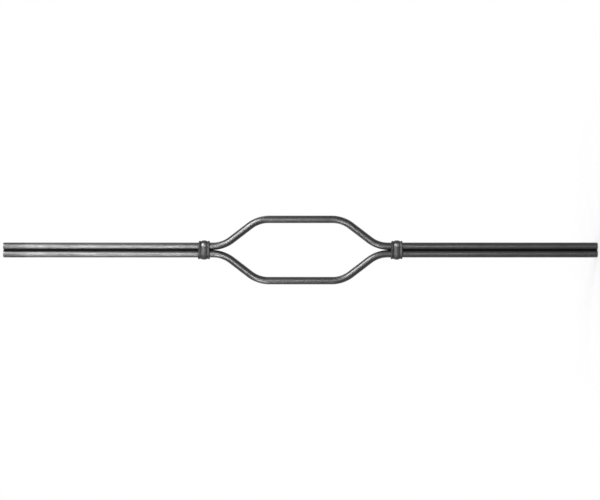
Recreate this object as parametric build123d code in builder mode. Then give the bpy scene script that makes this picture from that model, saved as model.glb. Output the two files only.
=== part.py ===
from build123d import *
import os
from math import radians, tan

# Twin-bar wrought iron baluster: two round bars, bent apart into a long hexagon and bound by two collars.
# It stands upright: +Z runs up its length, the hexagon lies in the XZ plane and the front faces -Y.
# The origin is at the foot, midway between the lower ends of the two bars.

# Driving dimensions, in millimetres and degrees
length = 950.0  # from the foot to the head
bar_diameter = 12.0  # round bar stock of both bars
hexagon_width = 110.0  # across the outsides of the two bars
hexagon_side = 135.0  # upright side of the hexagon, corner to corner of the centre line
bend_angle = 37.5  # turn of each bend
bend_radius = 50.0  # of the centre line, one former for every bend
bend_to_collar = 4.5  # straight bar between a bend and the collar beside it
end_chamfer = 0.8  # broken rim of the cut ends

# The moulded strip that the collars are made of: a crowned bead with a scoop on each side and two narrow lips
collar_width = 18.0  # along the bars
lip_thickness = 2.8
lip_width = 1.4
bead_thickness = 3.5  # at the crown
bead_edge = 2.75  # thickness where the crown ends
bead_width = 8.6
bead_flats = 4  # narrow flats along the bead's crown
scoop_thickness = 2.0  # at the bottom of the scoop on each side of the bead
scoop_start = 0.5  # from the bead to the bottom of the scoop
lip_chamfer = 1.1  # on the outer edge of each lip
collar_clearance = 0.05  # between the strip and the bars that it clasps
seam_gap = 0.4  # between the strip's two ends, which butt at the back

# Places that follow from the sizes
bar_radius = bar_diameter / 2
bar_place = bar_radius  # the two bars touch along their straight runs
side_place = hexagon_width / 2 - bar_radius
middle = length / 2
outer_corner = hexagon_side / 2
inner_corner = outer_corner + (side_place - bar_place) / tan(radians(bend_angle))
bend_reach = bend_radius * tan(radians(bend_angle / 2))
collar_place = inner_corner + bend_reach + bend_to_collar + collar_width / 2
wrap_radius = bar_radius + collar_clearance
scoop_place = bead_width / 2 + scoop_start
lip_end = collar_width / 2
lip_start = lip_end - lip_width

os.makedirs("parts", exist_ok=True)

# The bars: each is one length of round bar with four bends in one plane
for name, side in (("bar_left", -1), ("bar_right", 1)):
    with BuildPart() as bar:
        with BuildLine(Plane.XZ):
            FilletPolyline(
                (side * bar_place, 0),
                (side * bar_place, middle - inner_corner),
                (side * side_place, middle - outer_corner),
                (side * side_place, middle + outer_corner),
                (side * bar_place, middle + inner_corner),
                (side * bar_place, length),
                radius=bend_radius,
            )
        with BuildSketch(Plane((side * bar_place, 0, 0))):
            Circle(bar_radius)
        sweep()
        chamfer(bar.faces().filter_by(Axis.Z).edges(), end_chamfer)
    bar.part.label = name
    export_step(bar.part, f"parts/{name}.step")

# The collars: the strip goes from the seam at the back round the left bar, across the front
# and round the right bar to the seam again
for name, height in (("collar_lower", middle - collar_place), ("collar_upper", middle + collar_place)):
    with BuildPart() as collar:
        with BuildLine(Plane.XY.offset(height)) as wrap:
            Line((-seam_gap / 2, wrap_radius), (-bar_place, wrap_radius))
            ThreePointArc(
                (-bar_place, wrap_radius), (-bar_place - wrap_radius, 0), (-bar_place, -wrap_radius)
            )
            Line((-bar_place, -wrap_radius), (bar_place, -wrap_radius))
            ThreePointArc((bar_place, -wrap_radius), (bar_place + wrap_radius, 0), (bar_place, wrap_radius))
            Line((bar_place, wrap_radius), (seam_gap / 2, wrap_radius))
        # The section's X points out of the strip and its Y along the bars
        seam_plane = Plane((-seam_gap / 2, wrap_radius, height), x_dir=(0, 1, 0), z_dir=(-1, 0, 0))
        with BuildSketch(seam_plane) as strip:
            with BuildLine():
                crown = ThreePointArc(
                    (bead_edge, -bead_width / 2),
                    (bead_thickness, 0),
                    (bead_edge, bead_width / 2),
                    mode=Mode.PRIVATE,
                )
                Polyline(
                    *(crown @ (i / bead_flats) for i in range(bead_flats + 1)),
                    (scoop_thickness, scoop_place),
                    (lip_thickness, lip_start),
                    (lip_thickness, lip_end),
                    (0, lip_end),
                    (0, -lip_end),
                    (lip_thickness, -lip_end),
                    (lip_thickness, -lip_start),
                    (scoop_thickness, -scoop_place),
                    close=True,
                )
            make_face()
            rim = strip.vertices().group_by(Axis.Y)
            chamfer((rim[0] + rim[-1]).sort_by(Axis.X)[-2:], lip_chamfer)
        sweep(path=wrap.line)
    collar.part.label = name
    export_step(collar.part, f"parts/{name}.step")
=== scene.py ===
import math
from collections import namedtuple

import bmesh
import bpy
from mathutils import Matrix, Vector, noise


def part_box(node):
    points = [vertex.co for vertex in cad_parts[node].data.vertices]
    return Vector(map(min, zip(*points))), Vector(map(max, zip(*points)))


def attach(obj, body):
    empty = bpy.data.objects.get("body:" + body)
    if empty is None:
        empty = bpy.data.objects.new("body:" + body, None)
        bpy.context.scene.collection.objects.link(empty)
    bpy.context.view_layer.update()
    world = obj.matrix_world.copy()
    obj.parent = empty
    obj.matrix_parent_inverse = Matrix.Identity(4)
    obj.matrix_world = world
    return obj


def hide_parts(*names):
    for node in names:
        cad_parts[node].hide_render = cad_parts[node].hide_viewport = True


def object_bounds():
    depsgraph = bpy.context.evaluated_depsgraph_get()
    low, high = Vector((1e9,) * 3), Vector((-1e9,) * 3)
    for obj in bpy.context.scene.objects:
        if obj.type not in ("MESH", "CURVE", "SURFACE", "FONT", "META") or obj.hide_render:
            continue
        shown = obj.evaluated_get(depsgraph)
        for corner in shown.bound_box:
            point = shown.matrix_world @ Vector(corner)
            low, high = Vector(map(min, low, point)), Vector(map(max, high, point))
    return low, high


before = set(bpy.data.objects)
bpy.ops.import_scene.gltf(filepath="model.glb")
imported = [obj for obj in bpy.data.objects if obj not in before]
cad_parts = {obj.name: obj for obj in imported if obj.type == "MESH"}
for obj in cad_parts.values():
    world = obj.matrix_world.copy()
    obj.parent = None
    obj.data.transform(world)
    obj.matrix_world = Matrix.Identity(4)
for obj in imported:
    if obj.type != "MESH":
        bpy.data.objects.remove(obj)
CAD_LOW, CAD_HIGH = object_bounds()

bl_info = {
    "name": "Twin-bar Baluster",
    "version": (1, 0, 0),
    "blender": (4, 5, 0),
    "location": "View3D > Sidebar > Baluster",
    "description": "Makes the bent bars, the moulded collars and the studio of a wrought iron baluster",
    "category": "Add Mesh",
}

BODY = "root"
HEIGHT = CAD_HIGH.z - CAD_LOW.z
MIDDLE = (CAD_LOW.z + CAD_HIGH.z) / 2

# Photograph: its width and the two ends of the baluster in it, in pixels, and the sensor in millimetres
PHOTO_WIDTH = 600
PHOTO_HEAD_X = 3.45
PHOTO_FOOT_X = 597.4
SENSOR_WIDTH = 36.0

# Fineness of the meshes
BAR_RING = 48
BAR_STEP = 0.003
BEND_STEPS = 28
RIM_STEPS = 4
CAP_SHARES = (0.72, 0.4)
WRAP_STEP = 0.0006
ARC_STEPS = 10
SCOOP_STEPS = 6
FLOOR_SEGMENTS = 96
SMOOTH_BELOW = math.radians(40)

# Shape of the bars: how much of what a bend flattens goes into width, how many waves of rolling there are
# in a metre, and the turn towards the other bar over which the waves fade
BEND_SPREAD = 0.5
LONG_WAVES = 70
SHORT_WAVES = 190
SHORT_WAVE_HEIGHT = 0.5
WAVES_FADE = (0.55, 0.9)

# Wear and painted shade of the bars: rubbed rims and how far they reach from an end, cut faces, which lie
# within a share of the radius, the turn towards the other bar over which painted shade sets in between
# the bars, and the stretch at the head that is painted darker towards its end
RIM_RUBBING = 0.75
RIM_REACH = (0.0005, 0.005)
FACE_SHARE = 0.8
FACE_RUBBING = 0.2
GROOVE_TURN = (0.2, 0.75)
HEAD_DARKENING = 0.7
HEAD_DARKENING_REACH = (0.02, 0.075)

# Section of the collars: the step from the bead down to the scoop, whose two corners are set in by shares
# of its drop and its width, the curve of the scoop, and the inner edge as a share of the outer one
STEP_TOP_DROP = 0.15
STEP_TOP_WIDTH = 0.25
STEP_FOOT_RISE = 0.12
STEP_FOOT_WIDTH = 0.2
SCOOP_CURVE = 1.3
INNER_EDGE = 0.3

# Dents of the collars: how many there are in a metre round the bars and along them, how deep the small
# ones are beside the broad ones, the level below which they show, and the share of a lip's thickness,
# from the inside, that stays plain
BROAD_ROUND = 260
BROAD_ALONG = 330
SMALL_ROUND = 700
SMALL_ALONG = 800
SMALL_DENT_DEPTH = 0.5
DENT_LEVEL = 0.35
PLAIN_SHARE = 0.2

# The hexagon is about this many times as wide as a collar
HEXAGON_TO_COLLAR = 4

# Wear and painted shade of the collars: rubbing across the strip, rubbing round it, which grows over the
# shoulder on the right and ends where the strip turns to the side, and painted shade in the scoops
CROWN_RUBBING = 1.0
STEP_RUBBING = 0.4
SCOOP_RUBBING = 0.2
LIP_RUBBING = 0.3
LIP_EDGE_RUBBING = 0.3
ROUND_RUBBING = 0.3
SHOULDER_RUBBING = 0.5
SHOULDER_PLACE = (0.0042, 0.0072)
SHOULDER_TURN = (0.3, 0.7)
SCOOP_SHADE = 0.7

# Coat of the iron: where its noise becomes patches and masks, its rolled lines against its grain,
# and what each part of it adds to the roughness and to the relief
NOISE_MIDDLE = 0.5
PATCH_EDGES = (0.34, 0.68)
MASK_EDGES = (0.35, 0.95)
LINE_SIZE = 1.6
LINE_STRETCH = 60.0
# How strongly the painted shade mask darkens the coat
SHADE_AMOUNT = 0.45
PATCH_GLOSS = -0.05
GRAIN_ROUGHNESS = 0.1
BARE_POLISH = -0.2
# Roughness added where shade is painted
SHADE_DULLNESS = 0.15
GRAIN_RELIEF = 0.6
LINE_RELIEF = 0.4
PATCH_RELIEF = 0.4
RELIEF_DEPTH = 0.00012

# Mix node: its first input and its output for each kind of value
MIX_SOCKETS = {"FLOAT": (2, 0), "RGBA": (6, 2)}

# Studio: headings towards +Y between which mirrored air turns from the room to white, distances from
# the foot between which the floor clears, and how clear it is there
WHITE_TURN = (0.26, 0.55)
FLOOR_FADE = (0.0, 0.4)
FLOOR_CLEARING = (0.35, 1.0)
FLOOR_ROUGHNESS = 0.9

# One ring of points of a bar. The rings of the cut ends have no bend share
Ring = namedtuple("Ring", "centre across radius bend along")


class BarSizes(bpy.types.PropertyGroup):
    """Sizes of the two bent bars"""

    diameter: bpy.props.FloatProperty(
        name="Bar Diameter", description="Round bar that both bars are bent from",
        default=0.012, min=0.004, unit="LENGTH", precision=4)
    hexagon_side: bpy.props.FloatProperty(
        name="Hexagon Side",
        description="Upright side of the hexagon, corner to corner of the centre line",
        default=0.135, min=0.02, unit="LENGTH")
    bend_angle: bpy.props.FloatProperty(
        name="Bend Angle", description="Turn of each of a bar's four bends",
        default=math.radians(37.5), min=0.1, max=1.4, subtype="ANGLE")
    bend_radius: bpy.props.FloatProperty(
        name="Bend Radius", description="Radius of the centre line in each bend",
        default=0.05, min=0.01, unit="LENGTH")
    rim: bpy.props.FloatProperty(
        name="Broken Rim", description="Rounding of the rims of the cut ends",
        default=0.0008, min=0.0, unit="LENGTH", precision=5)
    flattening: bpy.props.FloatProperty(
        name="Bend Flattening", description="Share of its diameter that a bar loses across a bend",
        default=0.022, min=0.0, max=0.1, subtype="FACTOR")
    waviness: bpy.props.FloatProperty(
        name="Rolling Waviness",
        description="Depth of the shallow hollows that rolling leaves in the bar",
        default=0.00002, min=0.0, unit="LENGTH", precision=6)


class CollarSizes(bpy.types.PropertyGroup):
    """Sizes of the moulded strip that the collars are wrapped from"""

    lip_thickness: bpy.props.FloatProperty(
        name="Lip Thickness", description="Strip thickness at its two lips",
        default=0.0028, min=0.0005, unit="LENGTH", precision=4)
    bead_thickness: bpy.props.FloatProperty(
        name="Bead Thickness", description="Strip thickness at the crown of the bead",
        default=0.0035, min=0.0005, unit="LENGTH", precision=4)
    bead_edge: bpy.props.FloatProperty(
        name="Bead Edge", description="Strip thickness where the crown of the bead ends",
        default=0.00275, min=0.0005, unit="LENGTH", precision=5)
    bead_width: bpy.props.FloatProperty(
        name="Bead Width", description="Width of the bead between the two scoops",
        default=0.0086, min=0.001, unit="LENGTH", precision=4)
    scoop_thickness: bpy.props.FloatProperty(
        name="Scoop Thickness", description="Strip thickness at the bottom of the scoops beside the bead",
        default=0.002, min=0.0005, unit="LENGTH", precision=4)
    scoop_start: bpy.props.FloatProperty(
        name="Scoop Start", description="From the bead to the bottom of the scoop",
        default=0.0005, min=0.0001, unit="LENGTH", precision=5)
    lip_width: bpy.props.FloatProperty(
        name="Lip Width", description="Width of the flat lip along each edge of the strip",
        default=0.0014, min=0.0002, unit="LENGTH", precision=4)
    edge_radius: bpy.props.FloatProperty(
        name="Edge Radius", description="Rounding of the outer edge of each lip",
        default=0.0011, min=0.0001, unit="LENGTH", precision=4)
    clearance: bpy.props.FloatProperty(
        name="Clearance", description="Room between the strip and the bars that it clasps",
        default=0.00005, min=0.0, unit="LENGTH", precision=6)
    seam: bpy.props.FloatProperty(
        name="Seam", description="Gap between the two butted ends at the back",
        default=0.0004, min=0.0, unit="LENGTH", precision=5)
    hammering: bpy.props.FloatProperty(
        name="Hammering", description="Depth of the dents that closing the collar leaves in it",
        default=0.00022, min=0.0, unit="LENGTH", precision=6)
    slant: bpy.props.FloatProperty(
        name="Slant", description="How far the upper edge runs out of square from one side to the other",
        default=0.0009, min=0.0, unit="LENGTH", precision=5)


class IronFinish(bpy.types.PropertyGroup):
    """Colours of the iron"""

    dark_scale: bpy.props.FloatVectorProperty(
        name="Dark Scale", description="Darkest patches of the mill scale",
        default=(0.195, 0.195, 0.195, 1.0), size=4, subtype="COLOR", min=0.0, max=1.0)
    light_scale: bpy.props.FloatVectorProperty(
        name="Light Scale", description="Lightest patches of the mill scale",
        default=(0.26, 0.26, 0.26, 1.0), size=4, subtype="COLOR", min=0.0, max=1.0)
    bare_iron: bpy.props.FloatVectorProperty(
        name="Bare Iron", description="Metal where handling has rubbed the scale off",
        default=(0.6, 0.6, 0.6, 1.0), size=4, subtype="COLOR", min=0.0, max=1.0)
    # Painted shade: darkens the groove between the bars and the scoops of the collars, and the bars towards
    # the head
    painted_shade_tone: bpy.props.FloatVectorProperty(
        name="Painted Shade", description="Dull dirt between the bars, in the scoops and at the head",
        default=(0.05, 0.05, 0.05, 1.0), size=4, subtype="COLOR", min=0.0, max=1.0)
    rim_tint: bpy.props.FloatVectorProperty(
        name="Rim Tint", description="Tint of the reflection where the surface turns away",
        default=(0.35, 0.35, 0.35, 1.0), size=4, subtype="COLOR", min=0.0, max=1.0)


class StudioStage(bpy.types.PropertyGroup):
    """Floor, lamps and camera"""

    floor_color: bpy.props.FloatVectorProperty(
        name="Floor", description="Colour of the floor",
        default=(0.86, 0.86, 0.86, 1.0), size=4, subtype="COLOR", min=0.0, max=1.0)
    floor_radius: bpy.props.FloatProperty(
        name="Floor Radius",
        description="How far the floor reaches", default=30.0, min=1.0, unit="LENGTH")
    ambient: bpy.props.FloatProperty(
        name="Ambient", description="Strength of the even light from all sides", default=0.78, min=0.0)
    room: bpy.props.FloatProperty(
        name="Room", description="Brightness of the room in front, as the iron mirrors it",
        default=0.18, min=0.0, max=1.0)
    strip_power: bpy.props.FloatProperty(
        name="Strip Power", description="Power of the long lamp in front of the head",
        default=17.4, min=0.0, unit="POWER")
    soft_power: bpy.props.FloatProperty(
        name="Softbox Power", description="Power of the lamp above and to the right of the head",
        default=36.0, min=0.0, unit="POWER")
    side_power: bpy.props.FloatProperty(
        name="Side Power", description="Power of the lamp to the left of the head",
        default=14.0, min=0.0, unit="POWER")
    fill_power: bpy.props.FloatProperty(
        name="Fill Power", description="Power of the faint lamp low in front of the foot",
        default=1.55, min=0.0, unit="POWER")
    card_power: bpy.props.FloatProperty(
        name="Card Power",
        description="Light that each of the two white cards beside the head throws back",
        default=1.8, min=0.0, unit="POWER")
    back_power: bpy.props.FloatProperty(
        name="Back Power", description="Power of the soft lamp behind",
        default=6.0, min=0.0, unit="POWER")
    camera_distance: bpy.props.FloatProperty(
        name="Camera Distance", description="From the lens to the baluster",
        default=3.2, min=0.5, unit="LENGTH")


def smooth(value, start, end):
    """0 up to start, 1 from end on, and a soft ramp between."""
    share = min(max((value - start) / (end - start), 0.0), 1.0)
    return share * share * (3 - 2 * share)


def bar_corners(bars):
    """Corners of a bar's centre line from foot to head: distance from the middle plane, and height."""
    radius = bars.diameter / 2
    side = CAD_HIGH.x - radius
    outer = bars.hexagon_side / 2
    inner = outer + (side - radius) / math.tan(bars.bend_angle)
    return [
        Vector((radius, CAD_LOW.z)),
        Vector((radius, MIDDLE - inner)),
        Vector((side, MIDDLE - outer)),
        Vector((side, MIDDLE + outer)),
        Vector((radius, MIDDLE + inner)),
        Vector((radius, CAD_HIGH.z)),
    ]


def straight_run(start, end):
    """Stations of straight bar from start up to, but not at, end."""
    heading = (end - start).normalized()
    count = max(1, round((end - start).length / BAR_STEP))
    return [(start.lerp(end, i / count), heading, 0.0) for i in range(count)]


def bend_run(start, heading, turn, radius):
    """Stations of a bend that begins at start and turns its heading by turn, less its last one."""
    inward = Vector((-heading.y, heading.x)) * math.copysign(1, turn)
    stations = []
    for i in range(BEND_STEPS):
        share = i / BEND_STEPS
        angle = abs(turn) * share
        place = start + heading * (radius * math.sin(angle)) + inward * (radius * (1 - math.cos(angle)))
        aim = heading * math.cos(angle) + inward * math.sin(angle)
        stations.append((place, aim, math.sin(math.pi * share)))
    return stations


def centre_line(bars):
    """Stations of a bar from foot to head: place, heading, and a bend share that is 0 on straight bar."""
    corners = bar_corners(bars)
    reach = bars.bend_radius * math.tan(bars.bend_angle / 2)
    start = corners[0] + Vector((0, bars.rim))
    stations = []
    for before, corner, after in zip(corners, corners[1:], corners[2:]):
        arrive = (corner - before).normalized()
        leave = (after - corner).normalized()
        first = corner - arrive * reach
        turn = math.copysign(bars.bend_angle, arrive.cross(leave))
        stations += straight_run(start, first)
        stations += bend_run(first, arrive, turn, bars.bend_radius)
        start = corner + leave * reach
    last = corners[-1] - Vector((0, bars.rim))
    stations += straight_run(start, last)
    stations.append((last, stations[-1][1], 0.0))
    return stations


def end_rings(bars, height, upward):
    """Radius and height of the rings that round a cut end off and close it, from the bar outwards."""
    radius = bars.diameter / 2
    rings = []
    for i in range(1, RIM_STEPS + 1):
        angle = i / RIM_STEPS * math.pi / 2
        inset = bars.rim * (1 - math.cos(angle))
        rings.append((radius - inset, height - upward * bars.rim * (1 - math.sin(angle))))
    rings += [((radius - bars.rim) * share, height) for share in CAP_SHARES]
    return rings


def bar_rings(bars, side):
    """Rings of one bar from its cut end at the foot to the one at the head."""
    radius = bars.diameter / 2
    rings = []
    travelled = 0.0
    previous = None
    for place, heading, bend in centre_line(bars):
        travelled += bars.rim if previous is None else (place - previous).length
        previous = place
        across = Vector((heading.y * side, 0, -heading.x))
        rings.append(Ring(Vector((side * place.x, 0, place.y)), across, radius, bend, travelled))
    foot, head = rings[0], rings[-1]
    across = Vector((side, 0, 0))
    for ring_radius, height in end_rings(bars, CAD_HIGH.z, 1):
        rings.append(Ring(Vector((head.centre.x, 0, height)), across, ring_radius, None, height))
    for ring_radius, height in end_rings(bars, CAD_LOW.z, -1):
        rings.insert(0, Ring(Vector((foot.centre.x, 0, height)), across, ring_radius, None, height))
    return rings


def rolling_hollow(bars, own, out, seed):
    """Depth of the rolling waves at a place on a bar. They fade towards its twin, where out nears -1."""
    wave = noise.noise(own * LONG_WAVES + Vector((seed, 0, 0)))
    wave += SHORT_WAVE_HEIGHT * noise.noise(own * SHORT_WAVES)
    clear_of_twin = 1 - smooth(-out, *WAVES_FADE)
    return bars.waviness * min(max(0.5 + 0.5 * wave, 0), 1) * clear_of_twin


def bar_wear_and_shade(ring, radius, out):
    """How rubbed a bar is at a place on a ring, which faces its twin at out near -1, and how much painted
    shade it gets there: between the bars, and darker towards the head.
    """
    rubbed = FACE_RUBBING
    if ring.radius > radius * FACE_SHARE:
        to_end = min(ring.along - CAD_LOW.z, CAD_HIGH.z - ring.centre.z)
        rubbed = RIM_RUBBING * (1 - smooth(to_end, *RIM_REACH))
    from_twin = abs(ring.centre.x) - radius
    # Painted shade in the groove, where the bar turns towards its twin close beside it
    painted_shade = smooth(-out, *GROOVE_TURN) * (1 - smooth(from_twin, 0.0, radius))
    if ring.bend is not None:
        # Darker towards the head end
        darker = HEAD_DARKENING * (1 - smooth(CAD_HIGH.z - ring.centre.z, *HEAD_DARKENING_REACH))
        painted_shade = max(painted_shade, darker)
    return rubbed, painted_shade


def ring_faces(rings, count):
    """Faces between rings that follow each other, each of count points."""
    faces = []
    for first in range(0, (rings - 1) * count, count):
        for i in range(count):
            j = (i + 1) % count
            faces.append((first + i, first + j, first + count + j, first + count + i))
    return faces


def bar_mesh(name, bars, side, seed):
    """One bar, which stores for each point its place on straight bar, how rubbed it is and how much painted
    shade it gets.
    """
    radius = bars.diameter / 2
    rings = bar_rings(bars, side)
    points, straightened, rubbed, painted_shade = [], [], [], []
    for ring in rings:
        for i in range(BAR_RING):
            angle = 2 * math.pi * i / BAR_RING
            out, back = math.cos(angle), math.sin(angle)
            own = Vector((radius * out, radius * back, ring.along))
            inward, wide, size = 1.0, 1.0, ring.radius
            if ring.bend is not None:
                inward -= bars.flattening * ring.bend
                wide += bars.flattening * ring.bend * BEND_SPREAD
                size -= rolling_hollow(bars, own, out, seed)
            place = ring.centre + ring.across * (size * out * inward)
            points.append(place + Vector((0, size * back * wide, 0)))
            straightened.append(own)
            bare, darker = bar_wear_and_shade(ring, radius, out)
            rubbed.append(bare)
            painted_shade.append(darker)
    faces = ring_faces(len(rings), BAR_RING)
    for index in (0, len(rings) - 1):
        middle = len(points)
        points.append(rings[index].centre)
        straightened.append(Vector((0, 0, rings[index].along)))
        rubbed.append(FACE_RUBBING)
        painted_shade.append(0.0)
        for i in range(BAR_RING):
            faces.append((index * BAR_RING + i, index * BAR_RING + (i + 1) % BAR_RING, middle))
    return finished_mesh(name, points, faces, straightened, rubbed, painted_shade)


def finished_mesh(name, points, faces, straightened, rubbed, painted_shade):
    """A smooth-shaded mesh with its normals outward and the given values stored on its points."""
    mesh = bpy.data.meshes.new(name)
    mesh.from_pydata(points, [], faces)
    shell = bmesh.new()
    shell.from_mesh(mesh)
    bmesh.ops.recalc_face_normals(shell, faces=shell.faces)
    shell.to_mesh(mesh)
    shell.free()
    layer = mesh.attributes.new("straightened", "FLOAT_VECTOR", "POINT")
    layer.data.foreach_set("vector", [c for place in straightened for c in place])
    for key, values in (("rubbed", rubbed), ("painted_shade", painted_shade)):
        layer = mesh.attributes.new(key, "FLOAT", "POINT")
        layer.data.foreach_set("value", values)
    mesh.shade_smooth()
    mesh.set_sharp_from_angle(angle=SMOOTH_BELOW)
    return mesh


def add_piece(name, mesh, node, material):
    """The mesh as a piece of the baluster that stands for a CAD node."""
    piece = bpy.data.objects.new(name, mesh)
    bpy.context.scene.collection.objects.link(piece)
    mesh.materials.append(material)
    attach(piece, BODY)
    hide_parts(node)


def strip_section(strip, width):
    """Outline of the strip, once round: thickness outward, place along the bars and share of rubbing."""
    half = width / 2
    bead = strip.bead_width / 2
    lip, scoop, edge = strip.lip_thickness, strip.scoop_thickness, strip.edge_radius
    rise = strip.bead_thickness - strip.bead_edge
    bow = (bead * bead + rise * rise) / (2 * rise)
    upper = []
    for i in range(ARC_STEPS + 1):
        angle = math.asin(bead / bow) * i / ARC_STEPS
        thick = strip.bead_thickness - bow * (1 - math.cos(angle))
        upper.append((thick, bow * math.sin(angle), CROWN_RUBBING))
    bottom = bead + strip.scoop_start
    drop = strip.bead_edge - scoop
    step_top = (strip.bead_edge - STEP_TOP_DROP * drop, bead + STEP_TOP_WIDTH * strip.scoop_start)
    step_foot = (scoop + STEP_FOOT_RISE * drop, bottom - STEP_FOOT_WIDTH * strip.scoop_start)
    upper += [(*step_top, STEP_RUBBING), (*step_foot, 0.0)]
    climb = half - strip.lip_width - bottom
    for i in range(SCOOP_STEPS + 1):
        share = i / SCOOP_STEPS
        thick = scoop + (lip - scoop) * share ** SCOOP_CURVE
        upper.append((thick, bottom + climb * share, SCOOP_RUBBING * share))
    for i in range(ARC_STEPS + 1):
        angle = math.pi / 2 * i / ARC_STEPS
        rub = LIP_RUBBING + LIP_EDGE_RUBBING * math.sin(2 * angle)
        upper.append((lip - edge * (1 - math.cos(angle)), half - edge * (1 - math.sin(angle)), rub))
    upper += [(edge * INNER_EDGE, half, 0.0), (0.0, half - edge * INNER_EDGE, 0.0)]
    lower = [(thick, -along, rub) for thick, along, rub in reversed(upper[1:])]
    return lower + upper


def wrap_stations(strip, bars):
    """Places round the two bars from seam to seam, each with its outward direction."""
    radius = bars.diameter / 2 + strip.clearance
    twin = bars.diameter / 2
    stations = []
    flats = (
        (Vector((-strip.seam / 2, radius)), Vector((-twin, radius)), Vector((0, 1))),
        (Vector((-twin, -radius)), Vector((twin, -radius)), Vector((0, -1))),
        (Vector((twin, radius)), Vector((strip.seam / 2, radius)), Vector((0, 1))),
    )
    turns = ((-twin, math.pi / 2), (twin, -math.pi / 2))
    for index, (start, end, out) in enumerate(flats):
        count = max(2, round((end - start).length / WRAP_STEP))
        last = count + 1 if index == len(flats) - 1 else count
        stations += [(start.lerp(end, i / count), out) for i in range(last)]
        if index < len(turns):
            centre, first = turns[index]
            count = round(math.pi * radius / WRAP_STEP)
            for i in range(count):
                angle = first + math.pi * i / count
                out = Vector((math.cos(angle), math.sin(angle)))
                stations.append((Vector((centre, 0)) + out * radius, out))
    return stations


def hammer_dent(place, along, seed):
    """Unevenness of the hammered strip, from broad dents and small ones."""
    broad = Vector((place.x * BROAD_ROUND + seed, place.y * BROAD_ROUND, along * BROAD_ALONG))
    small = Vector((place.x * SMALL_ROUND, place.y * SMALL_ROUND + seed, along * SMALL_ALONG))
    return noise.noise(broad) + SMALL_DENT_DEPTH * noise.noise(small)


def collar_mesh(name, strip, bars, low, high, slant, seed):
    """One collar: the strip's section carried round both bars, with dents and a slanting edge."""
    width = high.z - low.z
    height = (low.z + high.z) / 2
    section = strip_section(strip, width)
    stations = wrap_stations(strip, bars)
    points, unrolled, rubbed, painted_shade = [], [], [], []
    travelled = 0.0
    for index, (place, out) in enumerate(stations):
        travelled += (place - stations[index - 1][0]).length if index else 0.0
        shoulder = SHOULDER_RUBBING * smooth(place.x, *SHOULDER_PLACE)
        shoulder *= 1 - smooth(out.x, *SHOULDER_TURN)
        for thick, along, rub in section:
            proud = smooth(thick, PLAIN_SHARE * strip.lip_thickness, strip.scoop_thickness)
            struck = min(max(DENT_LEVEL - hammer_dent(place, along, seed), 0), 1)
            rise = thick - strip.hammering * proud * struck
            across = place.x / CAD_HIGH.x * HEXAGON_TO_COLLAR
            edge = along - slant * across * smooth(along, 0, width / 2)
            points.append(Vector((place.x + out.x * rise, place.y + out.y * rise, height + edge)))
            unrolled.append(Vector((travelled + seed, thick, along)))
            rubbed.append(rub * (ROUND_RUBBING + shoulder))
            # Painted shade in the scoops, the thinnest and most sunken part of the strip
            painted_shade.append(SCOOP_SHADE * (1 - smooth(thick, strip.scoop_thickness, strip.lip_thickness)))
    count = len(section)
    faces = ring_faces(len(stations), count)
    faces.append(tuple(range(count)))
    last = (len(stations) - 1) * count
    faces.append(tuple(last + i for i in reversed(range(count))))
    return finished_mesh(name, points, faces, unrolled, rubbed, painted_shade)


def socket(group, name, direction, kind, default=None):
    """Gives a node group a named socket."""
    made = group.interface.new_socket(name, in_out=direction, socket_type=kind)
    if default is not None:
        made.default_value = default


def feed(tree, value, target):
    """Links another node's output to a socket, or sets the socket to a number or colour."""
    if isinstance(value, bpy.types.NodeSocket):
        tree.links.new(value, target)
    else:
        target.default_value = value


def math_node(tree, operation, first, second):
    """A Math node of two values, each a number or another node's output."""
    made = tree.nodes.new("ShaderNodeMath")
    made.operation = operation
    for target, value in zip(made.inputs, (first, second)):
        feed(tree, value, target)
    return made.outputs[0]


def scaled_sum(tree, *terms):
    """Sum of other nodes' outputs, each times a number."""
    parts = [math_node(tree, "MULTIPLY", output, factor) for output, factor in terms]
    total = parts[0]
    for part in parts[1:]:
        total = math_node(tree, "ADD", total, part)
    return total


def mix_node(tree, kind, share, first, second):
    """Two numbers (FLOAT) or colours (RGBA) mixed by share, each a value or another node's output."""
    made = tree.nodes.new("ShaderNodeMix")
    made.data_type = kind
    start, result = MIX_SOCKETS[kind]
    for index, value in ((0, share), (start, first), (start + 1, second)):
        feed(tree, value, made.inputs[index])
    return made.outputs[result]


def range_node(tree, value, low, high, to_low=0.0, to_high=1.0):
    """A value mapped from one range to another with soft ends."""
    made = tree.nodes.new("ShaderNodeMapRange")
    made.interpolation_type = "SMOOTHSTEP"
    tree.links.new(value, made.inputs["Value"])
    made.inputs["From Min"].default_value = low
    made.inputs["From Max"].default_value = high
    made.inputs["To Min"].default_value = to_low
    made.inputs["To Max"].default_value = to_high
    return made.outputs["Result"]


def noise_node(tree, place, stretch, size, detail, roughness=0.55):
    """Noise of a given size, drawn out along the bar by stretch. Both are sockets or numbers."""
    one_over = math_node(tree, "DIVIDE", 1.0, size)
    along = math_node(tree, "DIVIDE", one_over, stretch)
    scale = tree.nodes.new("ShaderNodeCombineXYZ")
    tree.links.new(one_over, scale.inputs["X"])
    tree.links.new(one_over, scale.inputs["Y"])
    tree.links.new(along, scale.inputs["Z"])
    scaled = tree.nodes.new("ShaderNodeVectorMath")
    scaled.operation = "MULTIPLY"
    tree.links.new(place, scaled.inputs[0])
    tree.links.new(scale.outputs["Vector"], scaled.inputs[1])
    made = tree.nodes.new("ShaderNodeTexNoise")
    made.inputs["Scale"].default_value = 1.0
    made.inputs["Detail"].default_value = detail
    made.inputs["Roughness"].default_value = roughness
    tree.links.new(scaled.outputs["Vector"], made.inputs["Vector"])
    return made.outputs["Fac"]


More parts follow.
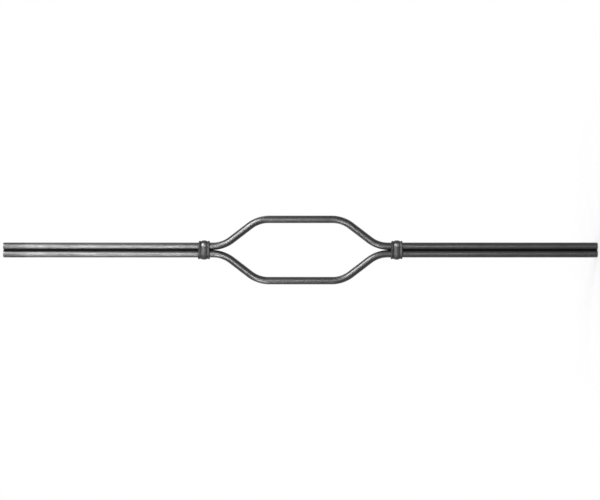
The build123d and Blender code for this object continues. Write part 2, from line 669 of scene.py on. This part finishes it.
def mill_scale_group():
    """Node group: patches of mill scale, its grain and the long lines of rolling, each from 0 to 1."""
    name = "Mill Scale"
    if name in bpy.data.node_groups:
        return bpy.data.node_groups[name]
    group = bpy.data.node_groups.new(name, "ShaderNodeTree")
    socket(group, "Place", "INPUT", "NodeSocketVector")
    socket(group, "Patch Size", "INPUT", "NodeSocketFloat", 0.01)
    socket(group, "Stretch", "INPUT", "NodeSocketFloat", 3.0)
    socket(group, "Grain Size", "INPUT", "NodeSocketFloat", 0.0006)
    for out in ("Patches", "Grain", "Lines"):
        socket(group, out, "OUTPUT", "NodeSocketFloat")
    taken = group.nodes.new("NodeGroupInput").outputs
    given = group.nodes.new("NodeGroupOutput").inputs
    place, grain_size = taken["Place"], taken["Grain Size"]
    patches = noise_node(group, place, taken["Stretch"], taken["Patch Size"], detail=5.0, roughness=0.6)
    group.links.new(range_node(group, patches, *PATCH_EDGES), given["Patches"])
    group.links.new(noise_node(group, place, 1.0, grain_size, detail=3.0), given["Grain"])
    line_size = math_node(group, "MULTIPLY", grain_size, LINE_SIZE)
    group.links.new(noise_node(group, place, LINE_STRETCH, line_size, detail=2.0), given["Lines"])
    return group


def broken_mask_group():
    """Node group: a mask of places marked on the mesh, broken up so that it isn't an even band."""
    name = "Broken Mask"
    if name in bpy.data.node_groups:
        return bpy.data.node_groups[name]
    group = bpy.data.node_groups.new(name, "ShaderNodeTree")
    socket(group, "Place", "INPUT", "NodeSocketVector")
    socket(group, "Marked", "INPUT", "NodeSocketFloat", 0.0)
    socket(group, "Break-up Size", "INPUT", "NodeSocketFloat", 0.003)
    socket(group, "Amount", "INPUT", "NodeSocketFloat", 0.5)
    socket(group, "Mask", "OUTPUT", "NodeSocketFloat")
    taken = group.nodes.new("NodeGroupInput").outputs
    given = group.nodes.new("NodeGroupOutput").inputs
    broken = noise_node(group, taken["Place"], 1.0, taken["Break-up Size"], detail=4.0, roughness=0.65)
    centred = math_node(group, "SUBTRACT", broken, NOISE_MIDDLE)
    mixed = math_node(group, "ADD", taken["Marked"], centred)
    mask = range_node(group, mixed, *MASK_EDGES)
    group.links.new(math_node(group, "MULTIPLY", mask, taken["Amount"]), given["Mask"])
    return group


def attribute_node(tree, name):
    """Reads a value stored on the mesh's points."""
    made = tree.nodes.new("ShaderNodeAttribute")
    made.attribute_name = name
    return made


def group_node(tree, group, place, **values):
    """Places a node group in a material with its own values."""
    made = tree.nodes.new("ShaderNodeGroup")
    made.node_tree = group
    tree.links.new(place, made.inputs["Place"])
    for key, value in values.items():
        made.inputs[key.replace("_", " ")].default_value = value
    return made


def mask_node(tree, place, mark, amount):
    """The broken-up mask of a value stored on the mesh's points."""
    made = group_node(tree, broken_mask_group(), place, Amount=amount)
    tree.links.new(attribute_node(tree, mark).outputs["Fac"], made.inputs["Marked"])
    return made.outputs["Mask"]


def iron_material(name, finish, shade, patch_size, stretch, roughness, rubbing, bump):
    """Iron under a coat of mill scale, darkened by shade, rubbed bare in places and painted darker as shade
    in others.
    """
    material = bpy.data.materials.new(name)
    material.use_nodes = True
    tree = material.node_tree
    shader = tree.nodes["Principled BSDF"]
    place = attribute_node(tree, "straightened").outputs["Vector"]
    scale = group_node(tree, mill_scale_group(), place, Patch_Size=patch_size, Stretch=stretch).outputs
    patches, grain, lines = scale["Patches"], scale["Grain"], scale["Lines"]
    bare = mask_node(tree, place, "rubbed", rubbing)
    # Painted shade: mask of the groove between the bars, the collar scoops and the head end, where the coat
    # is painted darker
    shade_mask = mask_node(tree, place, "painted_shade", SHADE_AMOUNT)

    tones = (finish.dark_scale, finish.light_scale)
    dark, light = ([c * shade for c in tone[:3]] + [1.0] for tone in tones)
    coat = mix_node(tree, "RGBA", patches, dark, light)
    # Painted shade mixed into the coat
    coat = mix_node(tree, "RGBA", shade_mask, coat, finish.painted_shade_tone)
    color = mix_node(tree, "RGBA", bare, coat, finish.bare_iron)
    tree.links.new(color, shader.inputs["Base Color"])

    coat_rough = scaled_sum(tree, (patches, PATCH_GLOSS), (grain, GRAIN_ROUGHNESS))
    coat_rough = math_node(tree, "ADD", coat_rough, roughness)
    worn_rough = scaled_sum(tree, (bare, BARE_POLISH), (shade_mask, SHADE_DULLNESS))
    tree.links.new(math_node(tree, "ADD", coat_rough, worn_rough), shader.inputs["Roughness"])

    relief = scaled_sum(tree, (grain, GRAIN_RELIEF), (lines, LINE_RELIEF), (patches, PATCH_RELIEF))
    dent = tree.nodes.new("ShaderNodeBump")
    dent.inputs["Strength"].default_value = bump
    dent.inputs["Distance"].default_value = RELIEF_DEPTH
    tree.links.new(relief, dent.inputs["Height"])
    tree.links.new(dent.outputs["Normal"], shader.inputs["Normal"])

    shader.inputs["Metallic"].default_value = 1.0
    shader.inputs["Specular Tint"].default_value = finish.rim_tint
    return material


def seen_rays(tree):
    """1 for what the camera sees itself, and 1 for what it sees mirrored or through glass."""
    path = tree.nodes.new("ShaderNodeLightPath").outputs
    mirrored = math_node(tree, "MAXIMUM", path["Is Glossy Ray"], path["Is Transmission Ray"])
    return path["Is Camera Ray"], mirrored


def white_world(stage):
    """Air that is white to the camera and lights evenly. It is mirrored white behind and dim in front."""
    world = bpy.data.worlds.new("studio_air")
    bpy.context.scene.world = world
    world.use_nodes = True
    tree = world.node_tree
    sky = tree.nodes["Background"]
    sky.inputs["Color"].default_value = (1, 1, 1, 1)
    direct, mirrored = seen_rays(tree)
    heading = tree.nodes.new("ShaderNodeSeparateXYZ")
    tree.links.new(tree.nodes.new("ShaderNodeTexCoord").outputs["Generated"], heading.inputs[0])
    depth = range_node(tree, heading.outputs["Y"], *WHITE_TURN, stage.room, 1.0)
    indirect = mix_node(tree, "FLOAT", mirrored, stage.ambient, depth)
    tree.links.new(mix_node(tree, "FLOAT", direct, indirect, 1.0), sky.inputs["Strength"])


def floor_material(stage):
    """Pale floor that keeps the shadow near the foot, clears to white further out and isn't mirrored."""
    material = bpy.data.materials.new("pale_floor")
    material.use_nodes = True
    tree = material.node_tree
    shader = tree.nodes["Principled BSDF"]
    shader.inputs["Base Color"].default_value = stage.floor_color
    shader.inputs["Roughness"].default_value = FLOOR_ROUGHNESS
    shader.inputs["Specular IOR Level"].default_value = 0.0
    away = tree.nodes.new("ShaderNodeVectorMath")
    away.operation = "LENGTH"
    tree.links.new(tree.nodes.new("ShaderNodeNewGeometry").outputs["Position"], away.inputs[0])
    clearing = range_node(tree, away.outputs["Value"], *FLOOR_FADE, *FLOOR_CLEARING)
    direct, mirrored = seen_rays(tree)
    clear = tree.nodes.new("ShaderNodeBsdfTransparent")
    blend = tree.nodes.new("ShaderNodeMixShader")
    share = math_node(tree, "MAXIMUM", math_node(tree, "MULTIPLY", clearing, direct), mirrored)
    tree.links.new(share, blend.inputs[0])
    tree.links.new(shader.outputs[0], blend.inputs[1])
    tree.links.new(clear.outputs[0], blend.inputs[2])
    tree.links.new(blend.outputs[0], tree.nodes["Material Output"].inputs["Surface"])
    return material


def add_floor(stage):
    """A round floor under the foot."""
    mesh = bpy.data.meshes.new("floor")
    disc = bmesh.new()
    bmesh.ops.create_circle(disc, cap_ends=True, radius=stage.floor_radius, segments=FLOOR_SEGMENTS)
    disc.to_mesh(mesh)
    disc.free()
    floor = bpy.data.objects.new("floor", mesh)
    floor.location.z = CAD_LOW.z
    bpy.context.scene.collection.objects.link(floor)
    mesh.materials.append(floor_material(stage))


def add_lamp(name, place, aim, size, power):
    """A softbox of a given width and height at place that faces aim and isn't itself in the picture."""
    light = bpy.data.lights.new(name, "AREA")
    light.shape = "RECTANGLE"
    light.size, light.size_y = size
    light.energy = power
    lamp = bpy.data.objects.new(name, light)
    lamp.location = place
    lamp.rotation_euler = (Vector(aim) - Vector(place)).to_track_quat("-Z", "Y").to_euler()
    lamp.visible_camera = False
    bpy.context.scene.collection.objects.link(lamp)


def add_camera(stage):
    """Looks squarely at the front, turned so that the head points to the left of the picture."""
    span = HEIGHT * PHOTO_WIDTH / (PHOTO_FOOT_X - PHOTO_HEAD_X)
    offset = (PHOTO_HEAD_X + PHOTO_FOOT_X - PHOTO_WIDTH) / 2 * span / PHOTO_WIDTH
    view = bpy.data.cameras.new("camera")
    view.sensor_width = SENSOR_WIDTH
    view.lens = SENSOR_WIDTH * stage.camera_distance / span
    camera = bpy.data.objects.new("camera", view)
    right, up, back = Vector((0, 0, -1)), Vector((1, 0, 0)), Vector((0, -1, 0))
    turned = Matrix((right, up, back)).transposed().to_4x4()
    camera.matrix_world = Matrix.Translation((0, -stage.camera_distance, MIDDLE + offset)) @ turned
    bpy.context.scene.collection.objects.link(camera)
    bpy.context.scene.camera = camera


class BALUSTER_OT_bars(bpy.types.Operator):
    """Make the two bent bars"""

    bl_idname = "baluster.bars"
    bl_label = "Bent Bars"

    def execute(self, context):
        bars = context.scene.baluster_bars
        iron = iron_material(
            "rolled_iron", context.scene.baluster_finish,
            shade=1.0, patch_size=0.009, stretch=5.0, roughness=0.27, rubbing=0.6, bump=0.35)
        for name, node, side, seed in (("left_bar", "bar_left", -1, 3.1),
                                       ("right_bar", "bar_right", 1, 8.7)):
            add_piece(name, bar_mesh(name, bars, side, seed), node, iron)
        return {"FINISHED"}


class BALUSTER_OT_collars(bpy.types.Operator):
    """Make the two moulded collars"""

    bl_idname = "baluster.collars"
    bl_label = "Moulded Collars"

    def execute(self, context):
        scene = context.scene
        strip, bars = scene.baluster_collars, scene.baluster_bars
        iron = iron_material(
            "forged_iron", scene.baluster_finish,
            shade=0.75, patch_size=0.005, stretch=1.0, roughness=0.5, rubbing=0.82, bump=0.3)
        for name, node, share, seed in (("lower_collar", "collar_lower", 0.7, 1.3),
                                        ("upper_collar", "collar_upper", 1.0, 5.9)):
            low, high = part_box(node)
            mesh = collar_mesh(name, strip, bars, low, high, strip.slant * share, seed)
            add_piece(name, mesh, node, iron)
        return {"FINISHED"}


class BALUSTER_OT_stage(bpy.types.Operator):
    """Set up the floor, the lamps and the camera"""

    bl_idname = "baluster.stage"
    bl_label = "Studio Stage"

    def execute(self, context):
        stage = context.scene.baluster_stage
        context.scene.view_settings.view_transform = "Standard"
        white_world(stage)
        add_floor(stage)
        upper = (0, 0, 0.65)
        add_lamp("strip", place=(-0.06, -2.8, 1.14), aim=upper, size=(1.6, 0.32), power=stage.strip_power)
        add_lamp("soft", place=(1.78, -2.34, 1.88), aim=upper, size=(1.6, 1.12), power=stage.soft_power)
        add_lamp("side", place=(-2.25, -2.33, 1.14), aim=upper, size=(1.6, 0.4), power=stage.side_power)
        lower = (0, 0, 0.07)
        add_lamp("fill", place=(-0.06, -2.8, 0.07), aim=lower, size=(0.8, 0.12), power=stage.fill_power)
        for name, side in (("left_card", -2.0), ("right_card", 2.0)):
            place = (side, 0.6, 1.02)
            add_lamp(name, place, aim=(0, 0, 0.8), size=(0.9, 0.55), power=stage.card_power)
        middle = (0, 0, 0.5)
        add_lamp("back", place=(-0.6, 1.2, 1.5), aim=middle, size=(1.2, 1.2), power=stage.back_power)
        add_camera(stage)
        return {"FINISHED"}


class BALUSTER_PT_panel(bpy.types.Panel):
    """Sizes, colours and steps of the baluster"""

    bl_idname = "BALUSTER_PT_panel"
    bl_label = "Baluster"
    bl_space_type = "VIEW_3D"
    bl_region_type = "UI"
    bl_category = "Baluster"

    def draw(self, context):
        for key in SETTINGS:
            box = self.layout.box()
            settings = getattr(context.scene, key)
            for name in settings.__annotations__:
                box.prop(settings, name)
        for step in STEPS:
            self.layout.operator(step.bl_idname)


SETTINGS = {
    "baluster_bars": BarSizes,
    "baluster_collars": CollarSizes,
    "baluster_finish": IronFinish,
    "baluster_stage": StudioStage,
}
STEPS = (BALUSTER_OT_bars, BALUSTER_OT_collars, BALUSTER_OT_stage)
CLASSES = (*SETTINGS.values(), *STEPS, BALUSTER_PT_panel)


def register():
    """Registers the classes and gives each scene their settings."""
    for cls in CLASSES:
        bpy.utils.register_class(cls)
    for key, cls in SETTINGS.items():
        setattr(bpy.types.Scene, key, bpy.props.PointerProperty(type=cls))


def unregister():
    """Takes the settings and the classes away again."""
    for key in SETTINGS:
        delattr(bpy.types.Scene, key)
    for cls in reversed(CLASSES):
        bpy.utils.unregister_class(cls)


def main():
    """Makes the pieces and the stage."""
    register()
    bpy.ops.baluster.bars()
    bpy.ops.baluster.collars()
    bpy.ops.baluster.stage()
    bpy.context.view_layer.update()


if __name__ == "__main__":
    main()
